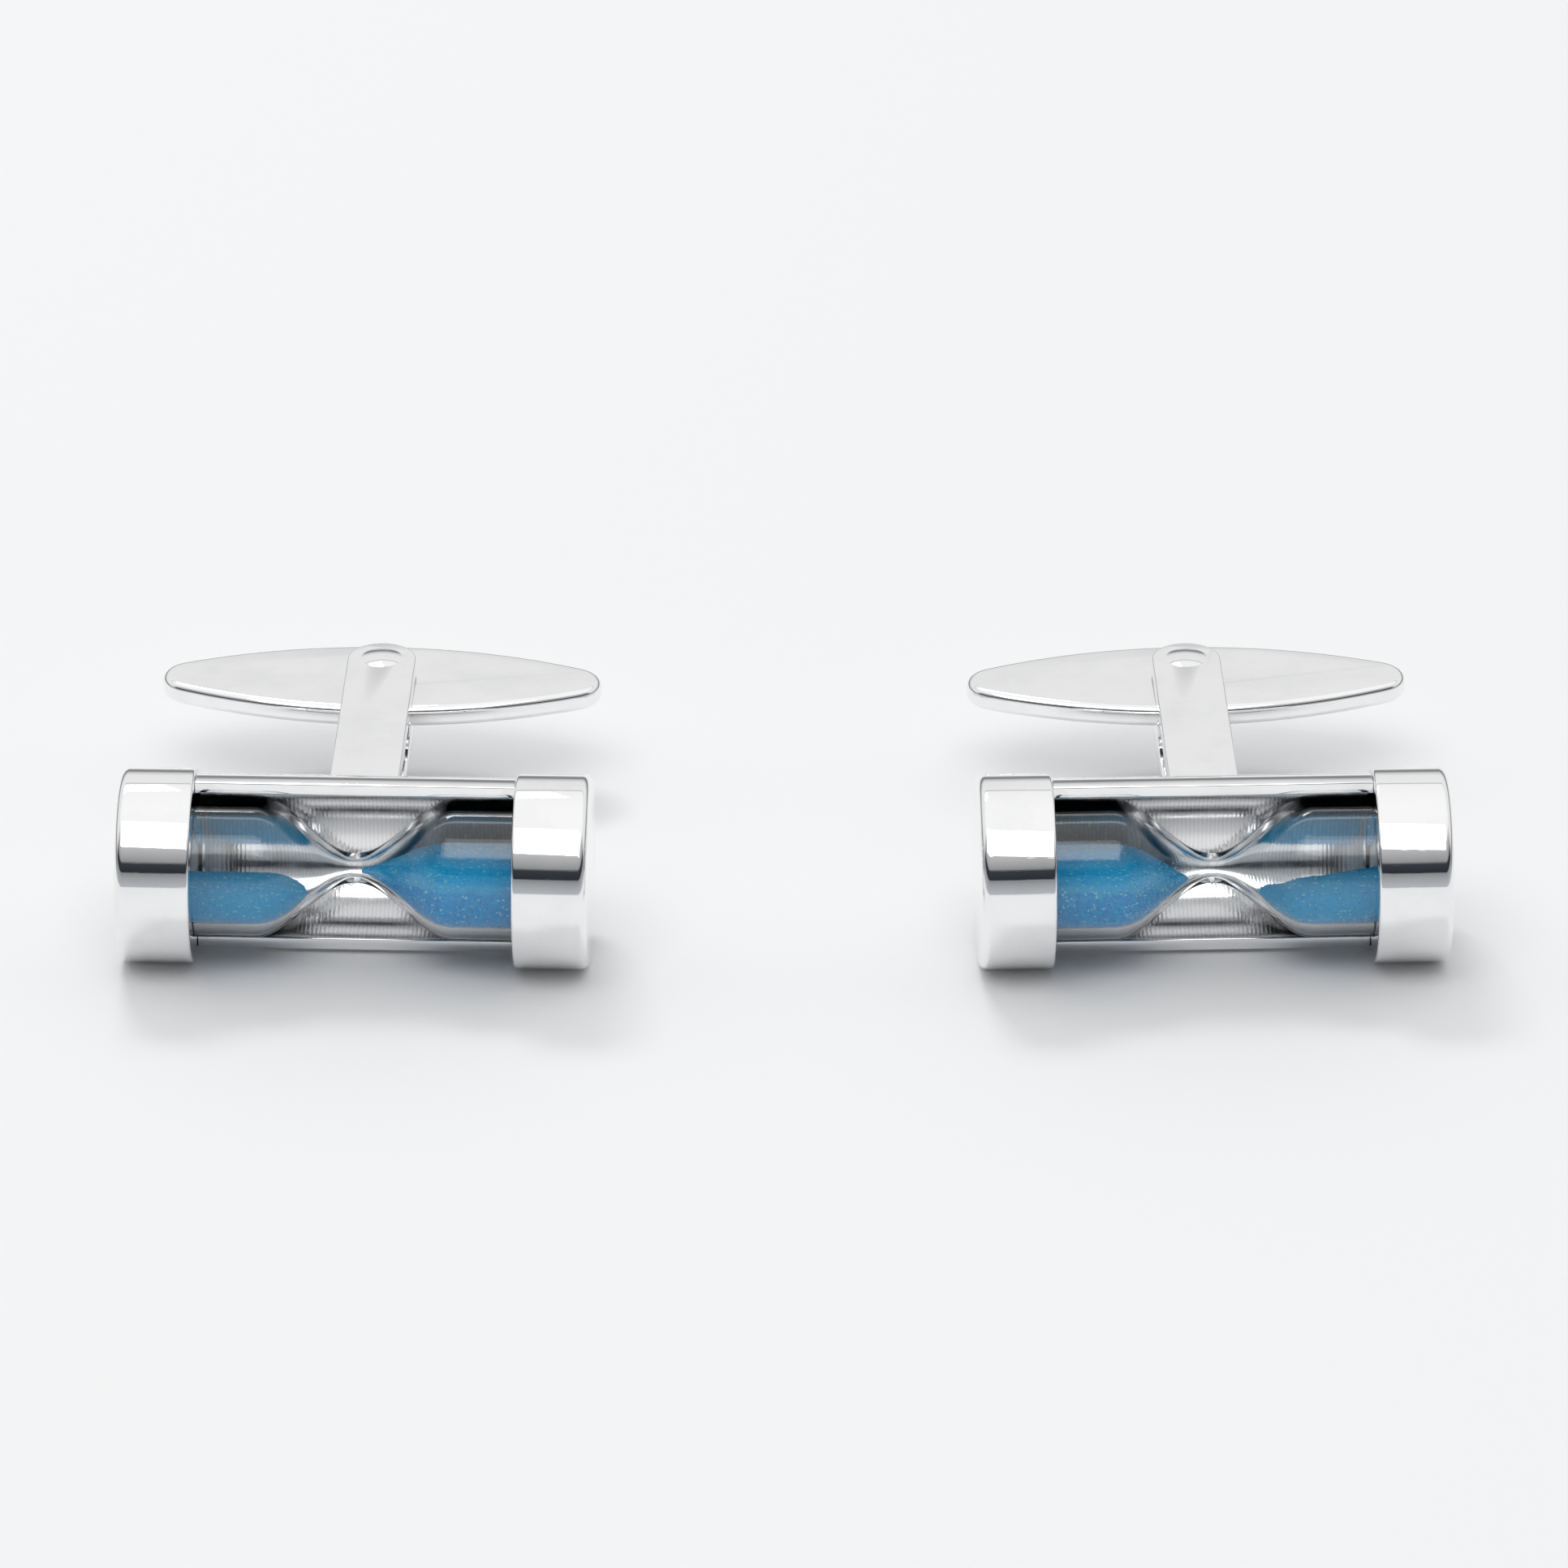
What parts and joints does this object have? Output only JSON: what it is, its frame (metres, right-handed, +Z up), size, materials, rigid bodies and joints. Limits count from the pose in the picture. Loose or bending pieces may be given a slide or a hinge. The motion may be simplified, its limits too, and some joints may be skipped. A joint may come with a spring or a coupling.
{
  "type": "hourglass cufflinks",
  "caption": "Pair of working sand-timer cufflinks: a glass hourglass with blue sand in a plated barrel case, on a forked post with a swivelling toggle.",
  "frame": {"origin": "middle of the pair's footprint, on the surface under the end caps", "axes": "+X along the cases from the left to the right cufflink, +Y from the domed fronts to the toggles, +Z up"},
  "size_m": [0.0532, 0.0234, 0.0078],
  "materials": {
    "polished_plate": "mirror-polished plating",
    "milled_plate": "plated, with fine turned marks inside the trough",
    "clear_glass": "clear flame-worked glass",
    "blue_sand": "fine glittering azure sand",
    "seal_rubber": "pale grey silicone",
    "spring_steel": "thin rolled spring steel"
  },
  "bodies": {
    "left_case": {"left_cradle": "milled_plate", "left_outer_cap": "polished_plate", "left_inner_cap": "polished_plate", "left_vial": "clear_glass", "left_outer_plug": "seal_rubber", "left_inner_plug": "seal_rubber", "left_outer_sand": "blue_sand", "left_inner_sand": "blue_sand", "left_post": "polished_plate", "left_pivot_pin": "polished_plate", "left_friction_washer": "spring_steel"},
    "left_toggle_bar": {"left_toggle": "polished_plate"},
    "right_case": {"right_cradle": "milled_plate", "right_outer_cap": "polished_plate", "right_inner_cap": "polished_plate", "right_vial": "clear_glass", "right_outer_plug": "seal_rubber", "right_inner_plug": "seal_rubber", "right_outer_sand": "blue_sand", "right_inner_sand": "blue_sand", "right_post": "polished_plate", "right_pivot_pin": "polished_plate", "right_friction_washer": "spring_steel"},
    "right_toggle_bar": {"right_toggle": "polished_plate"}
  },
  "joints": [
    {"name": "left_toggle_swivel", "type": "hinge", "parent": "left_case", "child": "left_toggle_bar", "pos_m": [-0.01648, 0.00874, 0.0039], "axis": [0, 0, 1], "range_deg": [-90, 90]},
    {"name": "right_cufflink_apart", "type": "slide", "parent": "left_case", "child": "right_case", "axis": [1, 0, 0], "range_m": [-0.012, 0.03]},
    {"name": "right_toggle_swivel", "type": "hinge", "parent": "right_case", "child": "right_toggle_bar", "pos_m": [0.01648, 0.00874, 0.0039], "axis": [0, 0, 1], "range_deg": [-90, 90]}
  ]
}
